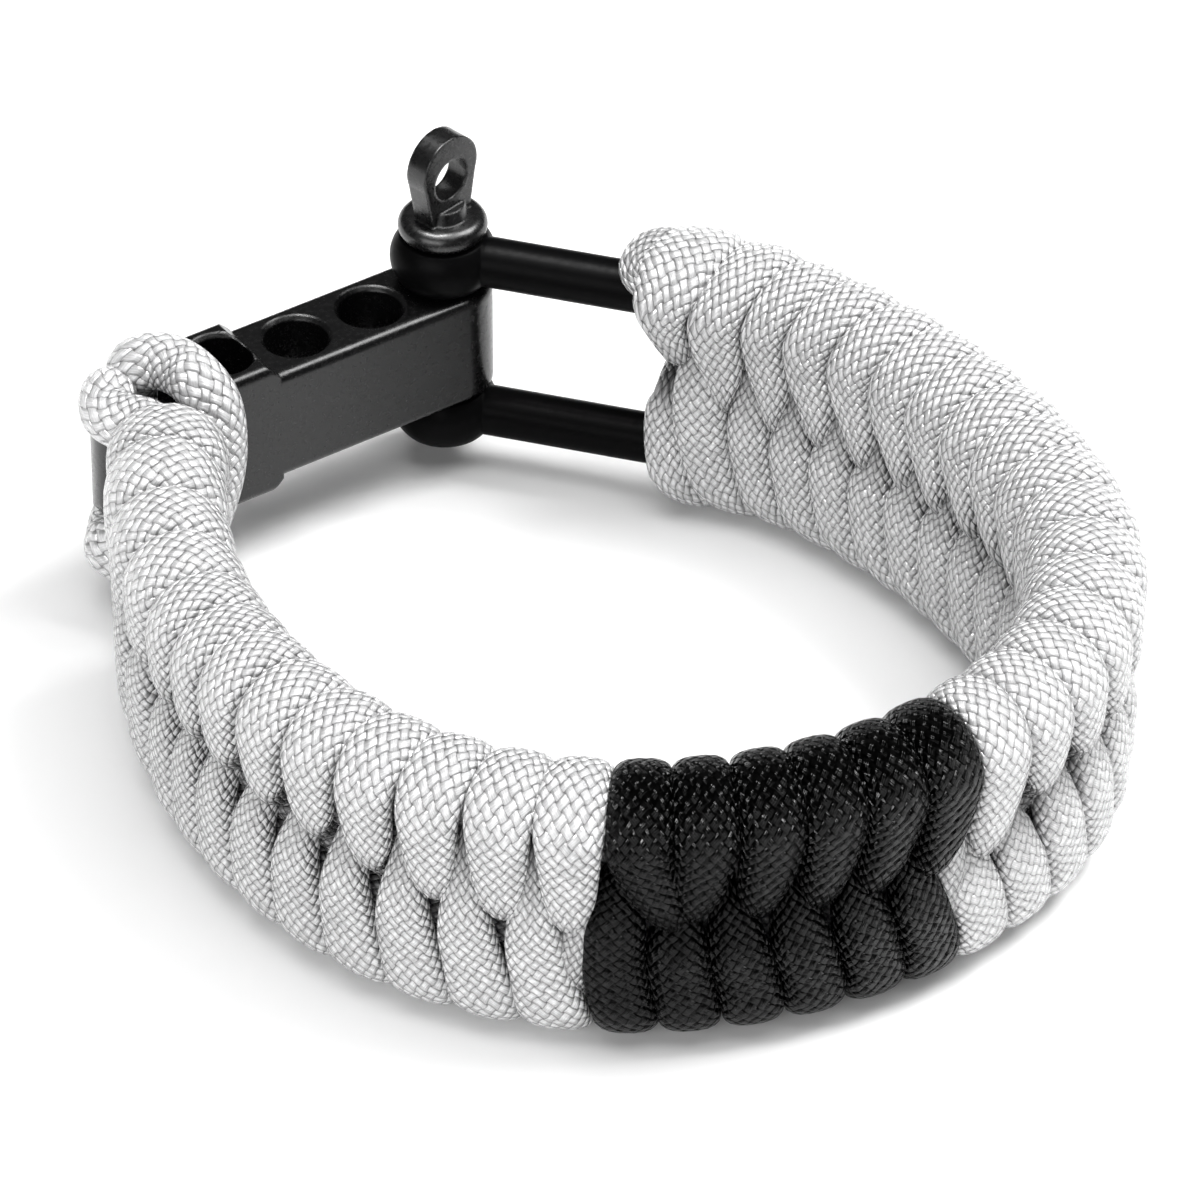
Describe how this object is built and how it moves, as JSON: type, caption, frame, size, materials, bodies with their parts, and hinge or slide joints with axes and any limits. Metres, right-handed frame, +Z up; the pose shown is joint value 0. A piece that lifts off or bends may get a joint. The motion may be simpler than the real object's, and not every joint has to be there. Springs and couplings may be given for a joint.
{
  "type": "paracord bracelet",
  "caption": "Woven paracord bracelet in light cord with a dark section, closed by an adjustable black bow shackle and screw pin.",
  "frame": {"origin": "on the surface the bracelet stands on, below the middle of its bounding box", "axes": "+Z up, through the bracelet as a wrist goes through it; +X to the right of the dark section, seen from above with the dark section at the front; +Y from the front to the clasp"},
  "size_m": [0.0729, 0.0716, 0.0277],
  "materials": {
    "black_metal": "satin black",
    "light_cord": "braided nylon sheath",
    "dark_cord": "braided nylon sheath"
  },
  "bodies": {
    "bracelet": {"shackle": "black_metal", "adjuster_bar": "black_metal", "core_cords": "light_cord", "light_turns_shackle_side": "light_cord", "dark_turns": "dark_cord", "light_turns_bar_side": "light_cord"},
    "pin": {"shackle_pin": "black_metal"}
  },
  "joints": [
    {"name": "pin_draw", "type": "slide", "parent": "bracelet", "child": "pin", "axis": [0, 0, 1], "range_m": [0, 0.02]}
  ]
}
